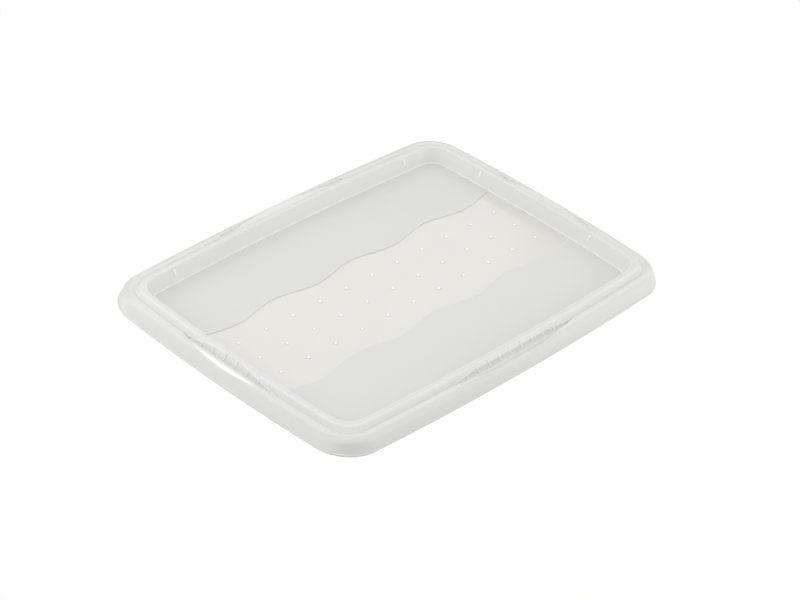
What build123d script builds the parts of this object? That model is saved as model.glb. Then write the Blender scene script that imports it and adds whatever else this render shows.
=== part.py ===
from build123d import *
import os
from math import asin, atan2, ceil, cos, degrees, radians, sin, sqrt, tan

os.makedirs("parts", exist_ok=True)

# Press-on lid of a storage box: one thin polypropylene moulding, open underneath.
# Millimetres. X runs along the long sides, Z is up, and the lip stands on Z = 0.
# An inset is a distance inward from the lid's outer edge, measured square to it.

# Outline: four gently bowed sides and rounded corners
half_length = 197.4
half_width = 143.0
long_side_bow = 6.4
short_side_bow = 6.3
corner_radius = 34.3
wall = 1.8

# Lip that rests on the box, with the skirt and the shoulder above it
lip_step = 0.8
lip_height = 2.4
lip_ledge = 0.6
lip_edge = 0.5
shoulder_radius = 7.6
shoulder_crest_inset = 10.1
shoulder_crest_height = 14.15
shoulder_back_radius = 4.5
shoulder_back_turn = 34.0

# Crown rail: the groove behind the shoulder, the riser and the flat top
groove_wall = 2.2
riser_angle = 46.0
crown_height = 16.8
crown_radius = 4.0
crown_edge_inset = 20.7
crown_edge_run = 1.1
crown_edge_drop = 0.8
crown_edge_corner = 18.2

# Recess: drafted wall, two raised floor fields and the lower wavy band
wall_draft = 19.4
field_height = 3.6
band_drop = 1.2
wave_offset = 46.4
wave_height = 3.3
wave_length = 88.5
dome_radius = 1.8
dome_height = 0.65
dome_slope = 60.0
dome_sides = 8
dome_pitch_x = 30.0
dome_pitch_y = 24.0
dome_columns = 11
dome_rows = 3

# Finger grips: a ribbed lens-shaped dish in the middle of each side
grip_inset = 11.3
grip_reach = 6.2
grip_length_long = 146.0
grip_length_short = 103.0
ledge_height = 12.0
ledge_inset = 14.0
ledge_corner = 1.5
back_angle = 52.0
rib_pitch = 12.8
rib_thickness = 1.0
rib_foot_inset = 10.5
rib_top_angle = 40.0
rib_count_long = 11
rib_count_short = 8

# Stacking nibs at the top of the recess wall, and catch beads inside the skirt
nib_width = 1.5
nib_height = 5.0
nib_depth = 0.8
nib_drop = 1.0
nib_along_long = 135.0
nib_along_short = 63.5
bead_length = 14.0
bead_half_height = 1.1
bead_depth = 0.8
bead_climb = 2.4
bead_along_long = 95.0
bead_along_short = 65.0


def bow_radius(half_chord, bow):
    return (half_chord**2 + bow**2) / (2 * bow)


long_radius = bow_radius(half_length, long_side_bow)
short_radius = bow_radius(half_width, short_side_bow)


# The plan outline at an inset: four large circles overlap and the corners are rounded
def outline(inset, radius):
    with BuildSketch() as shape:
        with Locations((0, half_width - long_radius)):
            Circle(long_radius - inset)
        with Locations((0, long_radius - half_width)):
            Circle(long_radius - inset, mode=Mode.INTERSECT)
        with Locations((half_length - short_radius, 0)):
            Circle(short_radius - inset, mode=Mode.INTERSECT)
        with Locations((short_radius - half_length, 0)):
            Circle(short_radius - inset, mode=Mode.INTERSECT)
        fillet(shape.vertices(), radius=radius)
    return shape.sketch


def outer_outline(inset):
    return outline(inset, corner_radius - inset)


# The crown's inner edge has wider corners than the outer edge, and the recess follows it
def inner_outline(inset):
    return outline(inset, crown_edge_corner + crown_edge_inset - inset)


def arcs_of(shape):
    return shape.face().outer_wire().edges()


# An upright plane at an arc's start: its X is the inset and its Y the height
def section_plane(arc):
    along = arc % 0
    return Plane(origin=arc @ 0, x_dir=(-along.Y, along.X, 0), z_dir=along)


# Turns a section along each arc, so that a bowed side or a corner is a true revolved form
def run_along(profile, arcs, mode=Mode.ADD):
    for arc in arcs:
        with BuildSketch(section_plane(arc)) as section:
            add(profile)
        turn = degrees(arc.length / arc.radius)
        revolve(section.sketch, Axis(arc.arc_center, (0, 0, 1)), turn, mode=mode)


outer_arcs = arcs_of(outer_outline(0))
inner_arcs = arcs_of(inner_outline(0))

# Each side as seen from outside with its middle at the front: half span, bow, turn about Z
long_side = {"half_span": half_width, "radius": long_radius, "turn": 0}
short_side = {"half_span": half_length, "radius": short_radius, "turn": 90}


# A stretch of one side's outer edge, centred a distance along from the side's middle
def side_arc(side, along, length):
    radius = side["radius"]
    centre = Vector(0, radius - side["half_span"]).rotate(Axis.Z, side["turn"])
    start = degrees((along - length / 2) / radius) - 90 + side["turn"]
    with BuildLine() as path:
        CenterArc(centre, radius, start, degrees(length / radius))
    return path.edges()


def level(height, side):
    turn = radians(side["turn"])
    return Plane(origin=(0, 0, height), x_dir=(cos(turn), sin(turn), 0), z_dir=(0, 0, 1))


# Section of the outer surface: a skirt that leans into the shoulder roll, the groove and
# the riser to the crown. The skirt is tangent to the roll.
roll_centre = Vector(shoulder_crest_inset, shoulder_crest_height - shoulder_radius)
skirt_foot = Vector(lip_step, lip_height)
to_centre = roll_centre - skirt_foot
skirt_length = sqrt(to_centre.length**2 - shoulder_radius**2)
skirt_angle = degrees(atan2(to_centre.Y, to_centre.X) + asin(shoulder_radius / to_centre.length))

with BuildLine() as shoulder_curve:
    skirt = PolarLine(skirt_foot, skirt_length, skirt_angle)
    roll = JernArc(skirt @ 1, skirt % 1, shoulder_radius, -skirt_angle)
    roll_back = JernArc(roll @ 1, roll % 1, shoulder_back_radius, -shoulder_back_turn)

groove = roll_back @ 1
turn_rise = crown_radius * (1 - cos(radians(riser_angle)))
riser_length = (crown_height - groove.Y - turn_rise) / sin(radians(riser_angle))

with BuildLine() as crown_curve:
    riser = PolarLine(groove, riser_length, riser_angle)
    crown_turn = JernArc(riser @ 1, riser % 1, crown_radius, -riser_angle)

# The underside follows one wall below, and runs straight below the riser
crown_flat_inset = (crown_turn @ 1).X
skirt_normal = Vector(sin(radians(skirt_angle)), -cos(radians(skirt_angle)))
under_skirt_foot = skirt_foot + skirt_normal * wall
under_skirt_top = skirt @ 1 + skirt_normal * wall
under_crest = roll_centre + Vector(0, shoulder_radius - wall)
under_groove = groove - Vector(0, groove_wall)

# Recess wall: inset of its inner and outer face at a height
draft_run = tan(radians(wall_draft))
wall_across = wall / cos(radians(wall_draft))
wall_top = crown_height - wall
band_height = field_height - band_drop
wall_head_inset = crown_edge_inset + crown_edge_run
wall_head_height = crown_height - crown_edge_drop


def wall_inner(height):
    return wall_head_inset + (wall_head_height - height) * draft_run


def wall_outer(height):
    return wall_inner(height) - wall_across


# Lip: the ring that stands on the box

with BuildSketch() as lip_profile:
    with BuildLine():
        Polyline(
            under_skirt_foot,
            (under_skirt_foot.X, 0),
            (lip_edge, 0),
            (0, lip_edge),
            (0, lip_height - lip_ledge),
            skirt_foot,
            close=True,
        )
    make_face()

with BuildPart() as rim_lip:
    run_along(lip_profile.sketch, outer_arcs)

# Finger grips: the space that each dish takes out of the rim. The dish is one wall larger
# than its own hollow on every side.


def grip_lens(side, length, growth):
    half = length / 2
    drop = side["radius"] * (1 - cos(asin(half / side["radius"])))
    middle = grip_inset - side["half_span"]
    with BuildSketch() as lens:
        with BuildLine():
            ThreePointArc((-half, middle + drop), (0, middle - grip_reach), (half, middle + drop))
            ThreePointArc((-half, middle + drop), (0, middle + grip_reach), (half, middle + drop))
        make_face()
        if growth:
            offset(amount=growth)
    return lens.sketch


def grip_prism(side, length, growth, mode=Mode.ADD):
    with BuildSketch(level(ledge_height - wall, side)) as lens:
        add(grip_lens(side, length, growth))
    extrude(lens.sketch, crown_height, mode=mode)


with BuildPart() as grip_openings:
    grip_prism(long_side, grip_length_long, wall)
    grip_prism(short_side, grip_length_short, wall)
    mirror(about=Plane.XZ)
    mirror(about=Plane.YZ)

# Skirt: the leaning wall above the lip

with BuildSketch() as skirt_profile:
    with BuildLine():
        Polyline(skirt @ 0, skirt @ 1, under_skirt_top, under_skirt_foot, close=True)
    make_face()

with BuildPart() as leaning_skirt:
    run_along(skirt_profile.sketch, outer_arcs)

# Shoulder: the rounded roll, down to the groove

with BuildSketch() as shoulder_profile:
    with BuildLine():
        add(roll)
        add(roll_back)
        Polyline(groove, under_groove, under_crest)
        JernArc(under_crest, (-1, 0), shoulder_radius - wall, skirt_angle)
        Line(under_skirt_top, skirt @ 1)
    make_face()

with BuildPart() as outer_shoulder:
    run_along(shoulder_profile.sketch, outer_arcs)
    add(grip_openings.part, mode=Mode.SUBTRACT)

# Crown rail: riser and flat top outside, bevelled inner edge above the recess wall

with BuildSketch() as riser_profile:
    with BuildLine():
        add(crown_curve.line)
        Polyline(crown_turn @ 1, (crown_flat_inset, wall_top), under_groove, groove)
    make_face()

with BuildSketch() as crown_edge_profile:
    with BuildLine():
        Polyline(
            (wall_outer(wall_top), crown_height),
            (crown_edge_inset, crown_height),
            (wall_head_inset, wall_head_height),
            (wall_inner(wall_top), wall_top),
            (wall_outer(wall_top), wall_top),
            close=True,
        )
    make_face()

with BuildPart() as crown_rail:
    run_along(riser_profile.sketch, outer_arcs)
    with BuildSketch(Plane.XY.offset(wall_top)) as crown_flat:
        add(outer_outline(crown_flat_inset))
        add(inner_outline(wall_outer(wall_top)), mode=Mode.SUBTRACT)
    extrude(amount=wall)
    run_along(crown_edge_profile.sketch, inner_arcs)
    add(grip_openings.part, mode=Mode.SUBTRACT)

# Floor: two fields, and between them the lower band with wavy edges


def wave(offset_y):
    crests = ceil(half_length / (wave_length / 2))
    turns = range(-crests, crests + 1)
    points = [(i * wave_length / 2, offset_y + wave_height * (-1) ** i) for i in turns]
    return Spline(points, tangents=[(1, 0)] * len(points))


with BuildPart() as floor_field_front:
    with BuildSketch(Plane.XY.offset(field_height - wall)):
        with BuildLine():
            edge = wave(-wave_offset)
            Polyline(edge @ 1, (edge.position_at(1).X, -half_width), (edge.position_at(0).X, -half_width), edge @ 0)
        make_face()
        add(inner_outline(wall_outer(field_height)), mode=Mode.INTERSECT)
    extrude(amount=wall)

with BuildPart() as floor_field_rear:
    with BuildSketch(Plane.XY.offset(field_height - wall)):
        with BuildLine():
            edge = wave(wave_offset)
            Polyline(edge @ 1, (edge.position_at(1).X, half_width), (edge.position_at(0).X, half_width), edge @ 0)
        make_face()
        add(inner_outline(wall_outer(field_height)), mode=Mode.INTERSECT)
    extrude(amount=wall)

with BuildPart() as wave_band:
    with BuildSketch(Plane.XY.offset(band_height - wall)):
        with BuildLine():
            front_edge = wave(-wave_offset)
            rear_edge = wave(wave_offset)
            Line(front_edge @ 0, rear_edge @ 0)
            Line(front_edge @ 1, rear_edge @ 1)
        make_face()
        add(inner_outline(wall_outer(band_height)), mode=Mode.INTERSECT)
    extrude(amount=wall)

# The domes are faceted, because there are many and each is the size of a pinhead
with BuildPart() as band_domes:
    with BuildSketch(Plane.XY.offset(band_height)):
        with GridLocations(dome_pitch_x, dome_pitch_y, dome_columns, dome_rows):
            RegularPolygon(dome_radius, dome_sides)
    extrude(amount=dome_height, taper=dome_slope)

# Recess wall: from under the crown's edge down to the floor

with BuildSketch() as wall_profile:
    with BuildLine():
        Polyline(
            (wall_outer(wall_top), wall_top),
            (wall_inner(wall_top), wall_top),
            (wall_inner(band_height), band_height),
            (wall_outer(band_height), band_height),
            close=True,
        )
    make_face()

with BuildPart() as recess_wall:
    run_along(wall_profile.sketch, inner_arcs)
    add(floor_field_front.part, mode=Mode.SUBTRACT)
    add(floor_field_rear.part, mode=Mode.SUBTRACT)

# Grip dishes: a ledge and a sloping back, sunk through the shoulder and the crown

back_run = 1 / tan(radians(back_angle))
under_ledge = ledge_height - wall
under_corner = ledge_inset + wall * tan(radians(back_angle / 2))
fill_inset = wall_outer(wall_top)

with BuildSketch() as rim_fill:
    with BuildLine():
        add(shoulder_curve.line)
        add(crown_curve.line)
        Polyline(
            crown_curve.line @ 1,
            (fill_inset, crown_height),
            (fill_inset, lip_height),
            skirt @ 0,
        )
    make_face()

with BuildSketch() as under_dish:
    with BuildLine():
        Polyline(
            (0, 0),
            (0, under_ledge),
            (under_corner, under_ledge),
            (under_corner + (wall_top - under_ledge) * back_run, wall_top),
            (fill_inset, wall_top),
            (fill_inset, 0),
            close=True,
        )
    make_face()

pocket_top = crown_height + wall
with BuildSketch() as scoop:
    with BuildLine():
        Polyline(
            (0, ledge_height),
            (ledge_inset, ledge_height),
            (ledge_inset + (pocket_top - ledge_height) * back_run, pocket_top),
            (0, pocket_top),
            close=True,
        )
    make_face()
    foot = scoop.vertices().sort_by_distance((ledge_inset, ledge_height))[0]
    chamfer(foot, length=ledge_corner)


def grip_pocket(side, length):
    run_along(scoop.sketch, side_arc(side, 0, length + 4 * wall))
    grip_prism(side, length, 0, Mode.INTERSECT)


def grip_pan(side, length):
    run_along(rim_fill.sketch, side_arc(side, 0, length + 4 * wall))
    run_along(under_dish.sketch, side_arc(side, 0, length + 4 * wall), Mode.SUBTRACT)
    grip_prism(side, length, wall, Mode.INTERSECT)


with BuildPart() as long_pocket:
    grip_pocket(long_side, grip_length_long)

with BuildPart() as short_pocket:
    grip_pocket(short_side, grip_length_short)

with BuildPart() as grip_dish_front:
    grip_pan(long_side, grip_length_long)
    add(long_pocket.part, mode=Mode.SUBTRACT)

with BuildPart() as grip_dish_rear:
    mirror(grip_dish_front.part, about=Plane.XZ)

with BuildPart() as grip_dish_right:
    grip_pan(short_side, grip_length_short)
    add(short_pocket.part, mode=Mode.SUBTRACT)

with BuildPart() as grip_dish_left:
    mirror(grip_dish_right.part, about=Plane.YZ)

# Grip ribs: upright webs on each dish's sloping back

rib_back = fill_inset
with BuildSketch() as rib_profile:
    with BuildLine():
        Polyline(
            (rib_foot_inset, ledge_height),
            (rib_back, ledge_height),
            (rib_back, ledge_height + (rib_back - rib_foot_inset) * tan(radians(rib_top_angle))),
            close=True,
        )
    make_face()
    add(scoop.sketch, mode=Mode.INTERSECT)
    add(rim_fill.sketch, mode=Mode.INTERSECT)


def rib_row(side, length, count):
    for i in range(count):
        along = (i - (count - 1) / 2) * rib_pitch
        plane = section_plane(side_arc(side, along, rib_thickness)[0])
        with BuildSketch(plane) as web:
            add(rib_profile.sketch)
        extrude(web.sketch, rib_thickness)
    grip_prism(side, length, 0, Mode.INTERSECT)


with BuildPart() as grip_ribs_front:
    rib_row(long_side, grip_length_long, rib_count_long)

with BuildPart() as grip_ribs_rear:
    mirror(grip_ribs_front.part, about=Plane.XZ)

with BuildPart() as grip_ribs_right:
    rib_row(short_side, grip_length_short, rib_count_short)

with BuildPart() as grip_ribs_left:
    mirror(grip_ribs_right.part, about=Plane.YZ)

# Stacking nibs: two short upright pips on each side of the recess wall

nib_top = wall_head_height - nib_drop
nib_foot = nib_top - nib_height
with BuildSketch() as nib_profile:
    with BuildLine():
        Polyline(
            (wall_inner(nib_top), nib_top),
            (wall_inner(nib_top - nib_depth) + nib_depth, nib_top - nib_depth),
            (wall_inner(nib_foot) + nib_depth, nib_foot),
            (wall_inner(nib_foot), nib_foot),
            close=True,
        )
    make_face()

with BuildPart() as stacking_nibs:
    run_along(nib_profile.sketch, side_arc(long_side, nib_along_long, nib_width))
    run_along(nib_profile.sketch, side_arc(short_side, nib_along_short, nib_width))
    mirror(about=Plane.XZ)
    mirror(about=Plane.YZ)

# Catch beads: low bars inside the skirt that catch under the box's rim

bead_middle = under_skirt_foot + (skirt % 0) * bead_climb
bead_foot = (skirt % 0) * bead_half_height
bead_crest = bead_middle + skirt_normal * bead_depth
with BuildSketch() as bead_profile:
    with BuildLine():
        Polyline(
            bead_middle - bead_foot,
            bead_crest - bead_foot / 2,
            bead_crest + bead_foot / 2,
            bead_middle + bead_foot,
            close=True,
        )
    make_face()

with BuildPart() as catch_beads:
    run_along(bead_profile.sketch, side_arc(long_side, bead_along_long, bead_length))
    run_along(bead_profile.sketch, side_arc(short_side, bead_along_short, bead_length))
    mirror(about=Plane.XZ)
    mirror(about=Plane.YZ)

pieces = {
    "rim_lip": rim_lip,
    "leaning_skirt": leaning_skirt,
    "outer_shoulder": outer_shoulder,
    "crown_rail": crown_rail,
    "recess_wall": recess_wall,
    "floor_field_front": floor_field_front,
    "floor_field_rear": floor_field_rear,
    "wave_band": wave_band,
    "band_domes": band_domes,
    "grip_dish_front": grip_dish_front,
    "grip_dish_rear": grip_dish_rear,
    "grip_dish_left": grip_dish_left,
    "grip_dish_right": grip_dish_right,
    "grip_ribs_front": grip_ribs_front,
    "grip_ribs_rear": grip_ribs_rear,
    "grip_ribs_left": grip_ribs_left,
    "grip_ribs_right": grip_ribs_right,
    "stacking_nibs": stacking_nibs,
    "catch_beads": catch_beads,
}
for name, piece in pieces.items():
    piece.part.label = name
    export_step(piece.part, f"parts/{name}.step")
    print(name, len(piece.part.solids()), round(piece.part.volume, 1))
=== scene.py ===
import bpy
import bmesh
from math import acos, asin, atan2, cos, pi, radians, sin, sqrt, tan
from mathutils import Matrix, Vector


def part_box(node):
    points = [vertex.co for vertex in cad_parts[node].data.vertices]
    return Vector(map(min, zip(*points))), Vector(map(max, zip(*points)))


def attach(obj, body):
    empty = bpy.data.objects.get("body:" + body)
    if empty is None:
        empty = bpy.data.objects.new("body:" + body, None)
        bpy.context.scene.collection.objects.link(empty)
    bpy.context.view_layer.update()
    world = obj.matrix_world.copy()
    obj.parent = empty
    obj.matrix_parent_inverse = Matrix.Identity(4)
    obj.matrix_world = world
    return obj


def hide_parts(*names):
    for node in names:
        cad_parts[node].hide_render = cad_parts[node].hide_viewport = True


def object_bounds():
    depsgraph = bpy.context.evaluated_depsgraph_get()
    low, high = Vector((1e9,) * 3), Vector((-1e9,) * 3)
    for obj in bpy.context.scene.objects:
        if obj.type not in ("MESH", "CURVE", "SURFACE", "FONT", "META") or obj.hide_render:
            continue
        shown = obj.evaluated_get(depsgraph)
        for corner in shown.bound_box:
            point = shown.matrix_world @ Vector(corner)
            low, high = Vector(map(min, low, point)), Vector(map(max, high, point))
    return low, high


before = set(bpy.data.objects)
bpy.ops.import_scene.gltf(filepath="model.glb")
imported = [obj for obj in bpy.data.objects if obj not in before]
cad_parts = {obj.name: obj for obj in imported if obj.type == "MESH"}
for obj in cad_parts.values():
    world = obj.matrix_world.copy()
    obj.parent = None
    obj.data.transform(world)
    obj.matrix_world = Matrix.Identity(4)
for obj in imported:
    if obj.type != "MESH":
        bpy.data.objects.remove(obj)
cadLow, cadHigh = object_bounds()
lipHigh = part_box("rim_lip")[1]
mm = 0.001
weld = 0.004 * mm  # points closer than this become one
near = 0.01 * mm  # the looser margin for finding a point, a level or a mirror plane
creaseAngle = radians(32)  # edges sharper than this stay sharp

# Shared sizes of the lid. An inset is a distance inward from its outer edge, and a height is above
# the lip's foot.
lid = {
    "halfLength": lipHigh[0],
    "halfWidth": lipHigh[1],
    "longBow": 6.4 * mm,
    "shortBow": 6.3 * mm,
    "wall": 1.8 * mm,
    "crownHeight": cadHigh[2],
    "draft": radians(19.4),
}

# How many steps each curve is drawn in
steps = {
    "quarter": (20, 26, 30),  # half a short side, a corner, half a long side
    "roll": 16,
    "rollInside": 12,
    "rollAtGrip": 14,
    "rollBack": 6,
    "groove": 8,
    "crown": 8,
    "wallEdge": 8,
    "wall": 4,
    "footLedge": 4,
    "lens": 24,
    "lensTip": 8,
    "bowedSide": 24,
    "ledgeCorner": 6,
    "wave": 24,
    "waveEdge": 3,
    "domeRise": 5,
    "domeRound": 20,
}


# Small moves shared by all pieces

def finishEditing():
    if bpy.context.object and bpy.context.object.mode == "EDIT":
        bpy.ops.object.mode_set(mode="OBJECT")


def pick(piece):
    finishEditing()
    bpy.ops.object.select_all(action="DESELECT")
    piece.select_set(True)
    bpy.context.view_layer.objects.active = piece


def takeAll():
    bpy.ops.mesh.select_all(action="SELECT")


def startPoint(name, place):  # a new piece that begins as one point, ready to be drawn from
    finishEditing()
    bpy.ops.object.select_all(action="DESELECT")
    bpy.ops.mesh.primitive_plane_add(size=mm, location=(0, 0, 0))
    piece = bpy.context.object
    piece.name = piece.data.name = name
    bpy.ops.object.mode_set(mode="EDIT")
    bpy.ops.mesh.select_mode(type="VERT")
    takeAll()
    bpy.ops.mesh.merge(type="CENTER")
    bpy.ops.transform.translate(value=place)
    return piece


def lineBy(step):
    bpy.ops.mesh.extrude_region_move(TRANSFORM_OT_translate={"value": step})


def solidBy(step):  # fills the closed outline that was drawn, and pulls it into a solid
    takeAll()
    bpy.ops.mesh.edge_face_add()
    lineBy(step)


def turnAround(centre, turn, count, axis=(0, 0, 1), copies=False):
    bpy.ops.mesh.spin(steps=count, angle=-turn, center=centre, axis=axis, dupli=copies)


def selectWhere(test, kind="VERT"):
    bpy.ops.mesh.select_mode(type=kind)
    bpy.ops.mesh.select_all(action="DESELECT")
    cage = bmesh.from_edit_mesh(bpy.context.object.data)
    parts = {"VERT": cage.verts, "EDGE": cage.edges}[kind]
    for part in parts:
        if test(part):
            part.select_set(True)
    cage.select_flush_mode()
    bmesh.update_edit_mesh(bpy.context.object.data)


def applyAll(piece):
    pick(piece)
    for modifier in list(piece.modifiers):
        bpy.ops.object.modifier_apply(modifier=modifier.name)


def mirrorOver(piece, x=False, y=False):
    finishEditing()
    mirror = piece.modifiers.new("mirror", "MIRROR")
    mirror.use_axis = (x, y, False)
    mirror.merge_threshold = near
    applyAll(piece)


def combine(piece, other, how):
    cut = piece.modifiers.new("combine", "BOOLEAN")
    cut.operation = how
    cut.solver = "EXACT"
    cut.object = other
    applyAll(piece)


def closeUp(piece):  # merges doubled points and turns every face outward
    pick(piece)
    bpy.ops.object.mode_set(mode="EDIT")
    bpy.ops.mesh.select_mode(type="VERT")
    takeAll()
    bpy.ops.mesh.remove_doubles(threshold=weld)
    bpy.ops.mesh.normals_make_consistent(inside=False)
    bpy.ops.object.mode_set(mode="OBJECT")


def smooth(piece):
    applyAll(piece)
    bpy.ops.object.shade_smooth_by_angle(angle=creaseAngle)


def copyOf(piece, name):
    twin = piece.copy()
    twin.data = piece.data.copy()
    twin.name = twin.data.name = name
    bpy.context.collection.objects.link(twin)
    return twin


def turnedCopy(piece, name, turn):  # a copy with a turn about the lid's middle put into its mesh
    twin = copyOf(piece, name)
    twin.rotation_euler = (0, 0, turn)
    pick(twin)
    bpy.ops.object.transform_apply(location=False, rotation=True, scale=False)
    return twin


def drop(*pieces):
    for piece in pieces:
        bpy.data.objects.remove(piece, do_unlink=True)


# Plan outline: a quarter of it is half a short side, a corner and half a long side

def bowRadius(halfChord, bow):
    return (halfChord**2 + bow**2) / (2 * bow)


longRadius = bowRadius(lid["halfLength"], lid["longBow"])
shortRadius = bowRadius(lid["halfWidth"], lid["shortBow"])


def quarterArcs(cornerRadius):  # the centre, turn and steps of a quarter's three tangent arcs
    longCentre = Vector((0, lid["halfWidth"] - longRadius))
    shortCentre = Vector((lid["halfLength"] - shortRadius, 0))
    toShort, toLong = shortRadius - cornerRadius, longRadius - cornerRadius
    across = longCentre - shortCentre
    along = (toShort**2 - toLong**2 + across.length**2) / (2 * across.length)
    out = Vector((across.y, -across.x)).normalized()
    out = out if out.x > 0 else -out
    corner = shortCentre + across.normalized() * along + out * sqrt(toShort**2 - along**2)
    sideTurn = atan2(corner.y - shortCentre.y, corner.x - shortCentre.x)
    cornerEnd = atan2(corner.y - longCentre.y, corner.x - longCentre.x)
    turns = (sideTurn, cornerEnd - sideTurn, pi / 2 - cornerEnd)
    return zip((shortCentre, corner, longCentre), turns, steps["quarter"])


def runQuarter(cornerRadius):  # carries the drawing from the short side's middle to the long side's
    takeAll()
    for centre, turn, count in quarterArcs(cornerRadius):
        turnAround((centre.x, centre.y, 0), turn, count)


# A pen that draws a section in the plane of the short side's middle, in inset and height
class Pen:
    def __init__(self, span, inset, height, heading):
        self.span, self.inset, self.height, self.heading = span, inset, height, heading

    def line(self, length):
        rise = length * sin(self.heading)
        self.lineTo(self.inset + length * cos(self.heading), self.height + rise)

    def lineTo(self, inset, height):
        lineBy((self.inset - inset, 0, height - self.height))
        self.inset, self.height = inset, height

    def path(self, *points):
        for inset, height in points:
            self.lineTo(inset, height)

    def arc(self, radius, turn, count):
        side = 1 if turn > 0 else -1
        centreInset = self.inset - side * radius * sin(self.heading)
        centreHeight = self.height + side * radius * cos(self.heading)
        turnAround((self.span - centreInset, 0, centreHeight), turn, count, (0, 1, 0))
        self.heading += turn
        self.inset = centreInset + side * radius * sin(self.heading)
        self.height = centreHeight - side * radius * cos(self.heading)


def startSection(name, span, inset, height, heading=0, aside=0):  # a new piece and its pen
    piece = startPoint(name, (span - inset, aside, height))
    return piece, Pen(span, inset, height, heading)


# Rim: lip, skirt, shoulder roll, groove, crown and recess wall in one skin

rim = {
    "lipStep": 0.8 * mm,
    "lipHeight": 2.4 * mm,
    "lipLedge": 0.6 * mm,
    "lipEdge": 0.5 * mm,
    "shoulderRadius": 7.6 * mm,
    "crestInset": 10.1 * mm,
    "crestHeight": 14.15 * mm,
    "backRadius": 4.5 * mm,
    "backTurn": radians(34),
    "grooveRadius": 0.8 * mm,
    "riserAngle": radians(46),
    "crownRadius": 4.0 * mm,
    "edgeInset": 20.7 * mm,
    "edgeRadius": 1.2 * mm,
    "outerCorner": 34.3 * mm,
    "innerCorner": 38.9 * mm,
    "footHeight": 1.75 * mm,
    "ledgeHeight": 4.5 * mm,
    "ledgeWidth": 0.5 * mm,
    "ledgeRound": 0.4 * mm,
    "ledgeSlope": radians(20),
    "ledgeTurn": radians(60),
}

rollCentre = Vector((rim["crestInset"], rim["crestHeight"] - rim["shoulderRadius"]))
skirtFoot = Vector((rim["lipStep"], rim["lipHeight"]))
toCentre = rollCentre - skirtFoot
skirtLength = sqrt(toCentre.length**2 - rim["shoulderRadius"]**2)
skirtAngle = atan2(toCentre.y, toCentre.x) + asin(rim["shoulderRadius"] / toCentre.length)
underSkirt = skirtFoot + Vector((sin(skirtAngle), -cos(skirtAngle))) * lid["wall"]

backDrop = rim["backRadius"] * (1 - cos(rim["backTurn"]))
grooveRise = rim["grooveRadius"] * (cos(rim["backTurn"]) - cos(rim["riserAngle"]))
crownTurnRise = rim["crownRadius"] * (1 - cos(rim["riserAngle"]))
riserRise = lid["crownHeight"] - rim["crestHeight"] + backDrop - grooveRise - crownTurnRise
riserLength = riserRise / sin(rim["riserAngle"])

wallAcross = lid["wall"] / cos(lid["draft"])
plateHeight = lid["crownHeight"] - lid["wall"]
headInset = rim["edgeInset"] + rim["edgeRadius"] * cos(lid["draft"])
headHeight = lid["crownHeight"] - rim["edgeRadius"] * (1 - sin(lid["draft"]))


def wallInset(height):
    return headInset + (headHeight - height) * tan(lid["draft"])


def drawShoulder(pen, depth):  # down the back of the roll, through the groove, up to the flat crown
    pen.arc(rim["backRadius"] - depth, -rim["backTurn"], steps["rollBack"])
    pen.arc(rim["grooveRadius"] + depth, rim["backTurn"] + rim["riserAngle"], steps["groove"])
    pen.line(riserLength)
    pen.arc(rim["crownRadius"] - depth, -rim["riserAngle"], steps["crown"])


def drawOuter(span):  # both faces from lip to crown, each drawn from the inside of the skirt's foot
    outer, inside = startSection("rimShell", span, underSkirt.x, underSkirt.y, skirtAngle)
    inside.line(skirtLength)
    inside.arc(rim["shoulderRadius"] - lid["wall"], -skirtAngle, steps["rollInside"])
    drawShoulder(inside, lid["wall"])
    start = Vector((span - underSkirt.x, 0, underSkirt.y))
    selectWhere(lambda point: (point.co - start).length < near)
    outside = Pen(span, underSkirt.x, underSkirt.y, skirtAngle)
    outside.path(
        (underSkirt.x, 0),
        (rim["lipEdge"], 0),
        (0, rim["lipEdge"]),
        (0, rim["lipHeight"] - rim["lipLedge"]),
        (skirtFoot.x, skirtFoot.y),
    )
    outside.line(skirtLength)
    outside.arc(rim["shoulderRadius"], -skirtAngle, steps["roll"])
    drawShoulder(outside, 0)
    runQuarter(rim["outerCorner"])
    outer.data.materials.append(milkyRimPaintedShade)
    return outer


def drawInner(span):  # both faces of the recess wall, from the crown to its foot and back up
    inner, pen = startSection("rimInner", span, rim["edgeInset"], lid["crownHeight"])
    pen.arc(rim["edgeRadius"], lid["draft"] - pi / 2, steps["wallEdge"])
    for i in range(steps["wall"]):
        height = headHeight + (rim["ledgeHeight"] - headHeight) * (i + 1) / steps["wall"]
        pen.lineTo(wallInset(height), height)
    pen.heading = -rim["ledgeSlope"]  # a narrow rounded ledge runs round the foot of the wall
    pen.line(rim["ledgeWidth"])
    pen.arc(rim["ledgeRound"], -rim["ledgeTurn"], steps["footLedge"])
    pen.path(
        (pen.inset, rim["footHeight"]),
        (wallInset(rim["footHeight"]) - wallAcross, rim["footHeight"]),
        (wallInset(plateHeight) - wallAcross, plateHeight),
    )
    runQuarter(rim["innerCorner"])
    finishEditing()
    inner.data.materials.append(milkyWallPaintedLight)
    return inner


def makeRim():
    outer = drawOuter(lid["halfLength"])
    inner = drawInner(lid["halfLength"])
    pick(outer)
    inner.select_set(True)
    bpy.ops.object.join()
    bpy.ops.object.mode_set(mode="EDIT")
    for level in (lid["crownHeight"], plateHeight):  # the crown and its underside close the skin
        selectWhere(
            lambda edge: len(edge.link_faces) == 1
            and all(abs(point.co.z - level) < near for point in edge.verts)
            and not all(abs(point.co.x) < near for point in edge.verts)
            and not all(abs(point.co.y) < near for point in edge.verts),
            "EDGE",
        )
        bpy.ops.mesh.bridge_edge_loops()
    mirrorOver(outer, x=True, y=True)
    closeUp(outer)
    return outer


# Finger grips: a lens-shaped opening in each side, with a ribbed dish in it

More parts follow.
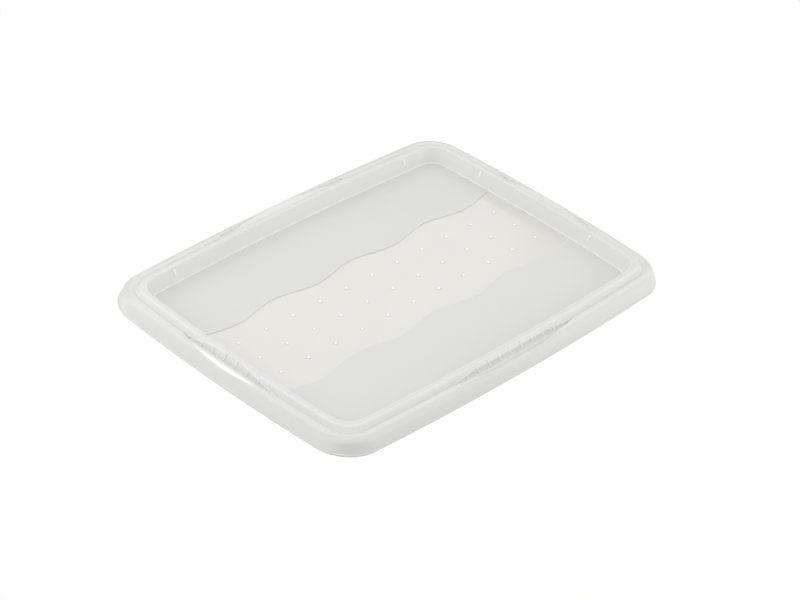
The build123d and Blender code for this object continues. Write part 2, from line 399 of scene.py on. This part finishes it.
grip = {
    "inset": 11.3 * mm,
    "reach": 6.2 * mm,
    "ledgeHeight": 12.0 * mm,
    "ledgeInset": 14.0 * mm,
    "ledgeCorner": 1.5 * mm,
    "backAngle": radians(52),
    "uprightBelow": 0.2,
    "ribPitch": 12.8 * mm,
    "ribThickness": 1.0 * mm,
    "ribToe": 11.9 * mm,
    "ribToeHeight": 0.4 * mm,
    "ribFoot": 13.7 * mm,
    "ribAngle": radians(50),
    "fillInset": 20.0 * mm,
}
longGrip = {
    "axis": "y", "span": lid["halfWidth"], "bow": longRadius, "length": 146 * mm, "ribs": 11,
}
shortGrip = {
    "axis": "x", "span": lid["halfLength"], "bow": shortRadius, "length": 103 * mm, "ribs": 8,
}
underLedge = grip["ledgeHeight"] - lid["wall"]


def makeLens(side, growth):  # an upright prism on the outline of a grip, larger by the growth
    half = side["length"] / 2
    sag = side["bow"] * (1 - cos(asin(half / side["bow"])))
    middle = side["span"] - grip["inset"]
    tip = middle - sag
    outerRadius = bowRadius(half, grip["reach"] + sag)
    innerRadius = bowRadius(half, grip["reach"] - sag)
    outerTurn, innerTurn = asin(half / outerRadius), asin(half / innerRadius)
    lens = startPoint("gripLens", (middle + grip["reach"] + growth, 0, underLedge))
    turnAround((middle + grip["reach"] - outerRadius, 0, 0), outerTurn, steps["lens"])
    if growth:
        turnAround((tip, half, 0), pi - outerTurn - innerTurn, steps["lensTip"])
    turnAround((middle - grip["reach"] + innerRadius, 0, 0), innerTurn, steps["lens"])
    mirrorOver(lens, y=True)
    bpy.ops.object.mode_set(mode="EDIT")
    solidBy((0, 0, lid["crownHeight"]))
    closeUp(lens)
    return lens


def sweepSide(piece, side):  # carries a closed section along the bow of a side, and closes its ends
    takeAll()
    bpy.ops.mesh.remove_doubles(threshold=weld)
    takeAll()
    beyondTip = 4 * lid["wall"]
    reach = side["length"] / 2 + beyondTip
    turnAround((side["span"] - side["bow"], 0, 0), reach / side["bow"], steps["bowedSide"])
    bpy.ops.mesh.edge_face_add()
    mirrorOver(piece, y=True)
    closeUp(piece)


def makeFill(side):  # the rim as if it were solid down to the underside of the dish
    rise = underLedge - rollCentre.y
    fromCrest = acos(rise / rim["shoulderRadius"])
    start = rollCentre.x - rim["shoulderRadius"] * sin(fromCrest)
    fill, pen = startSection("gripFill", side["span"], start, underLedge, fromCrest)
    pen.arc(rim["shoulderRadius"], -fromCrest, steps["rollAtGrip"])
    drawShoulder(pen, 0)
    backRun = 1 / tan(grip["backAngle"])
    corner = grip["ledgeInset"] + lid["wall"] * tan(grip["backAngle"] / 2)
    pen.path(
        (grip["fillInset"], lid["crownHeight"]),
        (grip["fillInset"], plateHeight),
        (corner + (plateHeight - underLedge) * backRun, plateHeight),
        (corner, underLedge),
        (start, underLedge),
    )
    sweepSide(fill, side)
    return fill


def makePocket(side):  # the room above the ledge and in front of the sloping back
    pocketTop = lid["crownHeight"] + lid["wall"]
    tangent = grip["ledgeCorner"] * tan(grip["backAngle"] / 2)
    pocket, pen = startSection("gripPocket", side["span"], 0, grip["ledgeHeight"])
    pen.lineTo(grip["ledgeInset"] - tangent, grip["ledgeHeight"])
    pen.arc(grip["ledgeCorner"], grip["backAngle"], steps["ledgeCorner"])
    pen.line((pocketTop - pen.height) / sin(grip["backAngle"]))
    pen.path((0, pocketTop), (0, grip["ledgeHeight"]))
    sweepSide(pocket, side)
    return pocket


def makeRibs(side, pocket, fill):  # each rib has a low toe on the ledge and a slope up to the crown
    thickness, back = grip["ribThickness"], grip["fillInset"]
    sunk = grip["ledgeHeight"] - lid["wall"] / 4  # begins a little below the ledge
    toeTop = grip["ledgeHeight"] + grip["ribToeHeight"]
    ribs, pen = startSection("gripRibs", side["span"], grip["ribToe"], sunk, aside=-thickness / 2)
    pen.path(
        (back, sunk),
        (back, toeTop + (back - grip["ribFoot"]) * tan(grip["ribAngle"])),
        (grip["ribFoot"], toeTop),
        (grip["ribToe"], toeTop),
    )
    solidBy((0, thickness, 0))
    takeAll()
    centre = (side["span"] - side["bow"], 0, 0)
    spread = (side["ribs"] - 1) * grip["ribPitch"] / side["bow"]
    bpy.ops.transform.rotate(value=spread / 2, orient_axis="Z", center_override=centre)
    turnAround(centre, spread, side["ribs"] - 1, copies=True)
    closeUp(ribs)
    combine(ribs, pocket, "INTERSECT")
    combine(ribs, fill, "INTERSECT")
    return ribs


def makeGrip(side, shell, names, turns):
    opening = makeLens(side, lid["wall"])
    lens = makeLens(side, 0)
    fill = makeFill(side)
    pocket = makePocket(side)
    combine(pocket, lens, "INTERSECT")
    ribs = makeRibs(side, pocket, fill)
    dish = copyOf(fill, "gripDish")
    for piece in (dish, pocket):  # the cut pocket leaves the grip's finishes in the dish
        piece.data.materials.clear()
        for finish in (milkyRimPaintedShade, gripCover, gripEdgePaintedLight):
            piece.data.materials.append(finish)
    # upright pocket walls get the lighter colour, painted light that lifts their shade
    for face in pocket.data.polygons:
        face.material_index = 2 if abs(face.normal.z) < grip["uprightBelow"] else 1
    ribs.data.materials.clear()
    ribs.data.materials.append(gripCover)
    combine(dish, opening, "INTERSECT")
    combine(dish, pocket, "DIFFERENCE")
    made = []
    for name, turn in zip(names, turns):
        cutter = turnedCopy(opening, "gripOpening", turn)
        combine(shell, cutter, "DIFFERENCE")
        drop(cutter)
        made.append((turnedCopy(dish, "gripDish" + name, turn), "grip_dish_" + name.lower()))
        made.append((turnedCopy(ribs, "gripRibs" + name, turn), "grip_ribs_" + name.lower()))
    drop(opening, lens, fill, pocket, ribs, dish)
    return made


# Floor: two frosted fields, and the lower polished band between their wavy edges

floor = {
    "fieldHeight": 3.6 * mm,
    "bandDrop": 1.2 * mm,
    "seat": 0.3 * mm,
    "waveOffset": 46.4 * mm,
    "waveHeight": 3.3 * mm,
    "waveLength": 88.5 * mm,
    "edgeRound": 0.5 * mm,
    "edgeSharperThan": radians(40),
    "edgeTiltedOver": radians(10),
}
bandHeight = floor["fieldHeight"] - floor["bandDrop"]


def makeSlab(name, top):
    inset = wallInset(top) - floor["seat"]
    slab = startPoint(name, (lid["halfLength"] - inset, 0, top))
    runQuarter(rim["innerCorner"])
    mirrorOver(slab, x=True, y=True)
    closeUp(slab)
    bpy.ops.object.mode_set(mode="EDIT")
    solidBy((0, 0, -lid["wall"]))
    closeUp(slab)
    return slab


def makeWaveBlock(side):  # all that lies beyond one wavy edge, front (-1) or rear (1)
    step = floor["waveLength"] / steps["wave"]
    count = 2 * (int(lid["halfLength"] / step) + 1)
    first = -count / 2 * step
    below, above = 2 * lid["wall"], 4 * lid["wall"]

    def edge(x):
        wave = floor["waveHeight"] * cos(2 * pi * x / floor["waveLength"])
        return side * floor["waveOffset"] + wave

    block = startPoint("waveBlock", (first, edge(first), -below))
    for i in range(count):
        x = first + i * step
        lineBy((step, edge(x + step) - edge(x), 0))
    far = side * lid["halfWidth"]
    lineBy((0, far - edge(first + count * step), 0))
    lineBy((-count * step, 0, 0))
    solidBy((0, 0, below + above))
    closeUp(block)
    return block


def roundEdges(piece):
    bevel = piece.modifiers.new("edge", "BEVEL")
    bevel.width = floor["edgeRound"]
    bevel.segments = steps["waveEdge"]
    bevel.limit_method = "ANGLE"
    bevel.angle_limit = floor["edgeSharperThan"]
    applyAll(piece)


def makeFloor():
    frontBlock, rearBlock = makeWaveBlock(-1), makeWaveBlock(1)
    front = makeSlab("floorFieldFront", floor["fieldHeight"])
    rear = copyOf(front, "floorFieldRear")
    band = makeSlab("waveBand", bandHeight)
    combine(front, frontBlock, "INTERSECT")
    combine(rear, rearBlock, "INTERSECT")
    combine(band, frontBlock, "DIFFERENCE")
    combine(band, rearBlock, "DIFFERENCE")
    for piece in (front, rear):
        roundEdges(piece)
    drop(frontBlock, rearBlock)
    return front, rear, band


def paintEdgeLight(field, finish):  # the rounded wavy edge of a field gets an unfrosted skin whose lighter colour is painted light: a highlight line on the front field, lifted shade on the rear one
    field.data.materials.append(finish)
    for face in field.data.polygons:
        wavy = abs(face.center.y) < floor["waveOffset"] + 2 * floor["waveHeight"]
        if wavy and abs(face.normal.z) < cos(floor["edgeTiltedOver"]):
            face.material_index = 1


# Domes: rows of small round bumps on the band

domes = {
    "radius": 1.8 * mm,
    "height": 0.65 * mm,
    "pitch": (30 * mm, 24 * mm),
    "count": (11, 3),
}


def makeDomes():
    radius = bowRadius(domes["radius"], domes["height"])
    turn = asin(domes["radius"] / radius)
    top = bandHeight + domes["height"]
    columns, rows = domes["count"]
    pitchX, pitchY = domes["pitch"]
    dome = startPoint("bandDomes", (0, 0, top))
    turnAround((0, 0, top - radius), turn, steps["domeRise"], (0, 1, 0))
    takeAll()
    turnAround((0, 0, 0), 2 * pi, steps["domeRound"])
    takeAll()
    bpy.ops.mesh.remove_doubles(threshold=near)
    selectWhere(lambda edge: len(edge.link_faces) == 1, "EDGE")
    bpy.ops.mesh.edge_face_add()
    takeAll()
    bpy.ops.transform.translate(value=(-(columns - 1) / 2 * pitchX, -(rows - 1) / 2 * pitchY, 0))
    finishEditing()
    for count, offset in ((columns, (pitchX, 0, 0)), (rows, (0, pitchY, 0))):
        repeat = dome.modifiers.new("repeat", "ARRAY")
        repeat.count = count
        repeat.use_relative_offset = False
        repeat.use_constant_offset = True
        repeat.constant_offset_displace = offset
    applyAll(dome)
    closeUp(dome)
    return dome


# Finishes. The lid is thin milky plastic, and light passes through it where it stands high. The
# shades paint that light into the colour, with painted shade in the groove, at the grips' backs and
# on surfaces that face the rear, and painted highlights on the shoulder, the grips' ledges, the
# wall's
# foot and the domes: pairs of a distance in mm and a share of the colour, by height, by inset from
# the lid's outline, or by inset from the bow of one side.

finishes = {
    "milkyRimPaintedShade": {
        "color": (0.83, 0.83, 0.815), "roughness": 0.30, "milk": 0.3, "grain": 900, "bump": 0.02,
        "shadesBy": "inset",
        # painted shade on the skirt and in the groove below the crown, lighter on the crest and
        # crown
        "shades": (
            (0, 0.91), (3.5, 0.91), (5.2, 0.92), (6.4, 0.93), (8.5, 0.96), (10.1, 1), (12.6, 1),
            (13.3, 0.97), (14.5, 0.93), (16.5, 0.99), (20.7, 0.99),
        ),
        # painted light and shade by facing: darkest toward the rear corner, dark where flat, a
        # painted highlight where the shoulder tilts a little toward the front
        "facingPaintedShade": (
            (-0.92, 0.88), (-0.75, 0.97), (-0.55, 0.95), (-0.42, 0.925), (-0.27, 0.99), (0, 0.88),
            (0.35, 0.80),
        ),
    },
    "milkyWallPaintedLight": {
        "color": (0.96, 0.96, 0.945), "roughness": 0.34, "milk": 0.3, "grain": 900, "bump": 0.02,
        "shadesBy": "height",
        # painted highlight on the ledge at the wall's foot, below 4.5 mm; painted shade above it, a
        # little darker near the crown
        "shades": ((0, 0.90), (4.5, 0.90), (4.8, 0.825), (15.5, 0.825), (16.7, 0.80)),
    },
    "gripFrontPaintedLight": {
        "color": (0.88, 0.88, 0.85), "roughness": 0.25, "milk": 0.1, "grain": 900, "bump": 0.02,
        "shadesBy": "bow",
        # painted light and shade across the front dish: a light line at its outer edge, a darker
        # ledge, painted shade at the foot of the back, a lighter back
        "shades": (
            (5, 0.885), (6.9, 0.74), (7.9, 0.70), (9.8, 0.805), (11.7, 0.725), (12.6, 0.72),
            (13.9, 0.74), (14.8, 0.73), (15.3, 0.83), (15.8, 0.91), (16.4, 0.89), (17, 0.87),
        ),
    },
    "gripLeftPaintedLight": {
        "color": (0.97, 0.97, 0.94), "roughness": 0.25, "milk": 0.1, "grain": 900, "bump": 0.02,
        "shadesBy": "bow",
        # painted highlight on the outer ledge of the left dish, fading into painted shade at the
        # foot of its back
        "shades": (
            (5, 1), (8.6, 1), (9.8, 0.86), (10.7, 0.79), (11.7, 0.73), (12.6, 0.69), (13.6, 0.66),
            (14.2, 0.67), (14.9, 0.69), (15.8, 0.735), (16.4, 0.745), (17, 0.75),
        ),
    },
    # a lighter colour for the pocket's upright walls: painted light that lifts their shade
    "gripEdgePaintedLight": {
        "color": (0.97, 0.97, 0.95), "roughness": 0.3, "milk": 0.3, "grain": 900, "bump": 0.01,
    },
    # one rib plastic in two colours, painted light: lighter in the front dish, darker in the left
    # dish to sit in its painted shade
    "ribFrontPaintedLight": {
        "color": (0.84, 0.84, 0.82), "roughness": 0.3, "milk": 0.3, "grain": 900, "bump": 0.01,
    },
    "ribLeftPaintedShade": {
        "color": (0.75, 0.75, 0.73), "roughness": 0.3, "milk": 0.3, "grain": 900, "bump": 0.01,
    },
    # a flat, darker copy of the grip plastic for the rear and right grips: painted shade
    "gripFarPaintedShade": {
        "color": (0.77, 0.77, 0.755), "roughness": 0.3, "milk": 0.1, "grain": 900, "bump": 0.02,
    },
    "frostedField": {
        "color": (0.715, 0.722, 0.690), "roughness": 0.60, "milk": 0.2, "grain": 2600, "bump": 0.06,
    },
    # painted light on the wavy edges: a painted highlight line on the front field, a lighter rear
    # edge that lifts its shade
    "frontEdgePaintedHighlight": {
        "color": (0.93, 0.93, 0.91), "roughness": 0.30, "milk": 0.1, "grain": 900, "bump": 0.02,
    },
    "rearEdgePaintedLight": {
        "color": (0.82, 0.82, 0.79), "roughness": 0.40, "milk": 0.1, "grain": 900, "bump": 0.02,
    },
    "polishedBand": {
        "color": (0.735, 0.728, 0.692), "roughness": 0.10, "milk": 0.1, "grain": 500, "bump": 0.01,
    },
    "glossyDomePaintedHighlight": {
        "color": (1.0, 1.0, 0.985), "roughness": 0.12, "milk": 0.0, "grain": 500, "bump": 0.01,
        "shadesBy": "height",
        # painted highlight on the dome tops, with a painted dark ring at their foot
        "shades": ((2.2, 0.62), (2.55, 0.64), (2.75, 0.82), (2.9, 1)),
    },
    # a lighter colour for nibs and beads: painted light that lifts the shade on their sides
    "glossyBeadPaintedLight": {
        "color": (0.95, 0.95, 0.93), "roughness": 0.15, "milk": 0.0, "grain": 500, "bump": 0.01,
    },
}
plastic = {  # what all finishes share
    "scatterDepth": 0.6 * mm,
    "scatterByChannel": (1, 1, 0.9),
    "grainDetail": 3,
    "cloudScale": 14,
    "cloudDetail": 2,
    "cloudLight": 1.012,
    "cloudDark": 0.985,
    "glossSpread": 0.04,
    "bumpDepth": 0.1 * mm,
    "shadeReach": 24 * mm,
    "towardPaintedShade": (0.55, 0.835, 0),
}


def calc(nodes, links, operation, *values):
    node = nodes.new("ShaderNodeMath")
    node.operation = operation
    for slot, value in zip(node.inputs, values):
        if isinstance(value, float):
            slot.default_value = value
        else:
            links.new(value, slot)
    return node.outputs[0]


def splitPlace(nodes, links, place):
    split = nodes.new("ShaderNodeSeparateXYZ")
    links.new(place.outputs["Object"], split.inputs[0])
    return split.outputs


def insetFrom(nodes, links, place, side, sign):  # how far a point lies inside the bowed outline
    split = splitPlace(nodes, links, place)

    def do(operation, *values):
        return calc(nodes, links, operation, *values)

    x, y = split["X"], split["Y"]
    if side:  # one side, measured from the middle of its bow
        centre = sign * (side["span"] - side["bow"])
        if side["axis"] == "x":
            x = do("SUBTRACT", x, centre)
        else:
            y = do("SUBTRACT", y, centre)
        distance = do("SQRT", do("ADD", do("MULTIPLY", x, x), do("MULTIPLY", y, y)))
        return do("SUBTRACT", side["bow"], distance)
    corner = rim["outerCorner"]
    beyond = []
    for across, along, half, otherHalf, bow in (
        (x, y, lid["halfLength"], lid["halfWidth"], lid["shortBow"]),
        (y, x, lid["halfWidth"], lid["halfLength"], lid["longBow"]),
    ):
        sag = do("MULTIPLY", do("MULTIPLY", along, along), bow / otherHalf**2)
        out = do("MAXIMUM", do("ADD", do("ADD", do("ABSOLUTE", across), sag), corner - half), 0.0)
        beyond.append(do("MULTIPLY", out, out))
    return do("SUBTRACT", corner, do("SQRT", do("ADD", *beyond)))


def darkenBy(nodes, links, tint, level, shades):
    ramp = nodes.new("ShaderNodeValToRGB")
    stops = ramp.color_ramp.elements
    while len(stops) < len(shades):
        stops.new(0.5)
    for stop, (position, shade) in zip(stops, shades):
        stop.position = position
        stop.color = (shade, shade, shade, 1)
    links.new(level, ramp.inputs["Fac"])
    blend = nodes.new("ShaderNodeMix")
    blend.data_type = "RGBA"
    blend.blend_type = "MULTIPLY"
    blend.inputs["Factor"].default_value = 1
    links.new(tint, blend.inputs["A"])
    links.new(ramp.outputs["Color"], blend.inputs["B"])
    return blend.outputs["Result"]


def addPaintedShades(nodes, links, place, tint, shader, recipe, side, sign):
    if recipe["shadesBy"] == "height":
        measure = splitPlace(nodes, links, place)["Z"]
    else:
        measure = insetFrom(nodes, links, place, side, sign)
    reach = plastic["shadeReach"]
    level = calc(nodes, links, "DIVIDE", measure, reach)
    shades = [(distance * mm / reach, shade) for distance, shade in recipe["shades"]]
    tint = darkenBy(nodes, links, tint, level, shades)
    if "facingPaintedShade" in recipe:  # painted light and shade: a share of the colour by how far the surface faces the rear corner
        turned = nodes.new("ShaderNodeVectorMath")
        turned.operation = "DOT_PRODUCT"
        turned.inputs[1].default_value = plastic["towardPaintedShade"]
        links.new(place.outputs["Normal"], turned.inputs[0])
        level = calc(nodes, links, "MULTIPLY_ADD", turned.outputs["Value"], 0.5, 0.5)  # 0 to 1
        shades = [((turn + 1) / 2, shade) for turn, shade in recipe["facingPaintedShade"]]
        tint = darkenBy(nodes, links, tint, level, shades)
    links.new(tint, shader.inputs["Base Color"])


def addNoise(nodes, links, place, scale, detail):
    noise = nodes.new("ShaderNodeTexNoise")
    noise.inputs["Scale"].default_value = scale
    noise.inputs["Detail"].default_value = detail
    links.new(place.outputs["Object"], noise.inputs["Vector"])
    return noise.outputs["Fac"]


def makeFinish(name, side=None, sign=1):
    recipe = finishes[name]
    finish = bpy.data.materials.new(name)
    finish.use_nodes = True
    nodes, links = finish.node_tree.nodes, finish.node_tree.links
    shader = nodes["Principled BSDF"]
    shader.inputs["Subsurface Weight"].default_value = recipe["milk"]
    shader.inputs["Subsurface Radius"].default_value = plastic["scatterByChannel"]
    shader.inputs["Subsurface Scale"].default_value = plastic["scatterDepth"]
    place = nodes.new("ShaderNodeTexCoord")
    grain = addNoise(nodes, links, place, recipe["grain"], plastic["grainDetail"])
    cloud = addNoise(nodes, links, place, plastic["cloudScale"], plastic["cloudDetail"])
    tint = nodes.new("ShaderNodeMix")  # slow unevenness of the milky plastic
    tint.data_type = "RGBA"
    light = [min(1, channel * plastic["cloudLight"]) for channel in recipe["color"]]
    dark = [channel * plastic["cloudDark"] for channel in recipe["color"]]
    tint.inputs["A"].default_value = (*dark, 1)
    tint.inputs["B"].default_value = (*light, 1)
    links.new(cloud, tint.inputs["Factor"])
    if "shades" in recipe:
        addPaintedShades(nodes, links, place, tint.outputs["Result"], shader, recipe, side, sign)
    else:
        links.new(tint.outputs["Result"], shader.inputs["Base Color"])
    gloss = nodes.new("ShaderNodeMapRange")
    gloss.inputs["To Min"].default_value = recipe["roughness"] - plastic["glossSpread"]
    gloss.inputs["To Max"].default_value = recipe["roughness"] + plastic["glossSpread"]
    links.new(grain, gloss.inputs["Value"])
    links.new(gloss.outputs["Result"], shader.inputs["Roughness"])
    bump = nodes.new("ShaderNodeBump")
    bump.inputs["Strength"].default_value = recipe["bump"]
    bump.inputs["Distance"].default_value = plastic["bumpDepth"]
    links.new(grain, bump.inputs["Height"])
    links.new(bump.outputs["Normal"], shader.inputs["Normal"])
    return finish


gripCover = bpy.data.materials.new("gripCover")  # a stand-in until each grip gets its own finish
milkyRimPaintedShade = makeFinish("milkyRimPaintedShade")
milkyWallPaintedLight = makeFinish("milkyWallPaintedLight")
# the front and left grips get their own painted light and shade; the rear and right grips fall back
# to one flat, darker finish, painted shade
gripFinishes = {
    "grip_dish_front": makeFinish("gripFrontPaintedLight", longGrip, -1),
    "grip_ribs_front": makeFinish("ribFrontPaintedLight"),
    "grip_dish_left": makeFinish("gripLeftPaintedLight", shortGrip, -1),
    "grip_ribs_left": makeFinish("ribLeftPaintedShade"),
}
gripFarPaintedShade = makeFinish("gripFarPaintedShade")
gripEdgePaintedLight = makeFinish("gripEdgePaintedLight")
glossyDomePaintedHighlight = makeFinish("glossyDomePaintedHighlight")
glossyBeadPaintedLight = makeFinish("glossyBeadPaintedLight")
frontEdgePaintedHighlight = makeFinish("frontEdgePaintedHighlight")
rearEdgePaintedLight = makeFinish("rearEdgePaintedLight")
frostedField = makeFinish("frostedField")
polishedBand = makeFinish("polishedBand")
print("finishes made")


# Putting the lid together

def dress(piece, slotName, *nodeNames):
    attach(piece, "root")
    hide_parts(*nodeNames)


shell = makeRim()
print("rim made:", len(shell.data.polygons), "faces")
gripPieces = makeGrip(longGrip, shell, ("Front", "Rear"), (-pi / 2, pi / 2))
gripPieces += makeGrip(shortGrip, shell, ("Right", "Left"), (0, pi))
print("grips made")
closeUp(shell)
smooth(shell)
dress(
    shell, "rim_plastic",
    "rim_lip", "leaning_skirt", "outer_shoulder", "crown_rail", "recess_wall",
)
for piece, node in gripPieces:
    closeUp(piece)
    smooth(piece)
    dress(piece, "rim_plastic", node)
    for i, finish in enumerate(piece.data.materials):
        if finish == gripCover:
            piece.data.materials[i] = gripFinishes.get(node, gripFarPaintedShade)

front, rear, band = makeFloor()
for piece, finish, slotName, node in (
    (front, frostedField, "frosted_plastic", "floor_field_front"),
    (rear, frostedField, "frosted_plastic", "floor_field_rear"),
    (band, polishedBand, "band_plastic", "wave_band"),
    (makeDomes(), glossyDomePaintedHighlight, "band_plastic", "band_domes"),
):
    smooth(piece)
    piece.data.materials.clear()
    piece.data.materials.append(finish)
    dress(piece, slotName, node)
paintEdgeLight(front, frontEdgePaintedHighlight)
paintEdgeLight(rear, rearEdgePaintedLight)
print("floor made")

# the nibs and beads take the lighter colour, painted light that lifts their shade
for node in ("stacking_nibs", "catch_beads"):
    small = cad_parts[node]
    small.data.materials.clear()
    small.data.materials.append(glossyBeadPaintedLight)

# Stage, lamps and camera

stage = {
    "size": 6,
    "white": (0.86, 0.86, 0.86),
    "roughness": 0.9,
    "paperGlow": 0.97,
    "worldStrength": 0.82,
}


def makeGround():  # pale paper that looks white to the camera, and lights the lid as paper does
    finishEditing()
    bpy.ops.object.select_all(action="DESELECT")
    bpy.ops.mesh.primitive_plane_add(size=stage["size"], location=(0, 0, 0))
    ground = bpy.context.object
    ground.name = "ground"
    paper = bpy.data.materials.new("paleGround")
    paper.use_nodes = True
    nodes, links = paper.node_tree.nodes, paper.node_tree.links
    shader = nodes["Principled BSDF"]
    shader.inputs["Base Color"].default_value = (*stage["white"], 1)
    shader.inputs["Roughness"].default_value = stage["roughness"]
    glow = nodes.new("ShaderNodeEmission")
    glow.inputs["Strength"].default_value = 1
    seen = nodes.new("ShaderNodeLightPath")
    share = calc(nodes, links, "MULTIPLY", seen.outputs["Is Camera Ray"], stage["paperGlow"])
    blend = nodes.new("ShaderNodeMixShader")
    links.new(share, blend.inputs["Fac"])
    links.new(shader.outputs["BSDF"], blend.inputs[1])
    links.new(glow.outputs["Emission"], blend.inputs[2])
    links.new(blend.outputs["Shader"], nodes["Material Output"].inputs["Surface"])
    ground.data.materials.append(paper)


def makeWorld():
    world = bpy.data.worlds.new("softRoom")
    bpy.context.scene.world = world
    world.use_nodes = True
    sky = world.node_tree.nodes["Background"]
    sky.inputs["Color"].default_value = (1, 1, 1, 1)
    sky.inputs["Strength"].default_value = stage["worldStrength"]


# The low side panels aren't mirrored, because they would glare in the polished band
lamps = {
    "overheadPanel": {
        "place": (-0.35, -0.25, 1.5), "aim": (0, 0, 0), "size": 0.7, "power": 3.2, "mirrored": True,
    },
    "leftPanel": {
        "place": (-0.7, 0.5, 0.25), "aim": (-0.15, 0.05, 0), "size": 0.4, "power": 1.1,
        "mirrored": False,
    },
    "rightPanel": {
        "place": (0.6, -0.65, 0.2), "aim": (0.12, -0.1, 0), "size": 0.4, "power": 1.0,
        "mirrored": False,
    },
    "backPanel": {
        "place": (1.10, 1.46, 1.38), "aim": (0, 0, 0), "size": 1.3, "power": 3.6, "mirrored": True,
    },
}
camera = {
    "place": (-1.3618, -1.1539, 1.2453),
    "aim": (-0.0044, -0.0129, 0.0),
    "roll": radians(6.6),
    "lens": 119.97,
    "sensor": 36,
}


def setUp(name, data, recipe):  # puts a lamp or the camera at its place, looking at its aim
    body = bpy.data.objects.new(name, data)
    bpy.context.collection.objects.link(body)
    body.location = recipe["place"]
    look = Vector(recipe["aim"]) - Vector(recipe["place"])
    body.rotation_euler = look.to_track_quat("-Z", "Y").to_euler()
    return body


def makeLamps():
    for name, lamp in lamps.items():
        light = bpy.data.lights.new(name, "AREA")
        light.energy = lamp["power"]
        light.size = lamp["size"]
        body = setUp(name, light, lamp)
        body.visible_camera = False
        body.visible_glossy = lamp["mirrored"]


def makeCamera():
    lens = bpy.data.cameras.new("camera")
    lens.lens = camera["lens"]
    lens.sensor_width = camera["sensor"]
    body = setUp("camera", lens, camera)
    body.rotation_euler.rotate_axis("Z", camera["roll"])
    bpy.context.scene.camera = body


makeGround()
makeWorld()
makeLamps()
makeCamera()
bpy.context.scene.view_settings.view_transform = "Standard"
print("stage made")
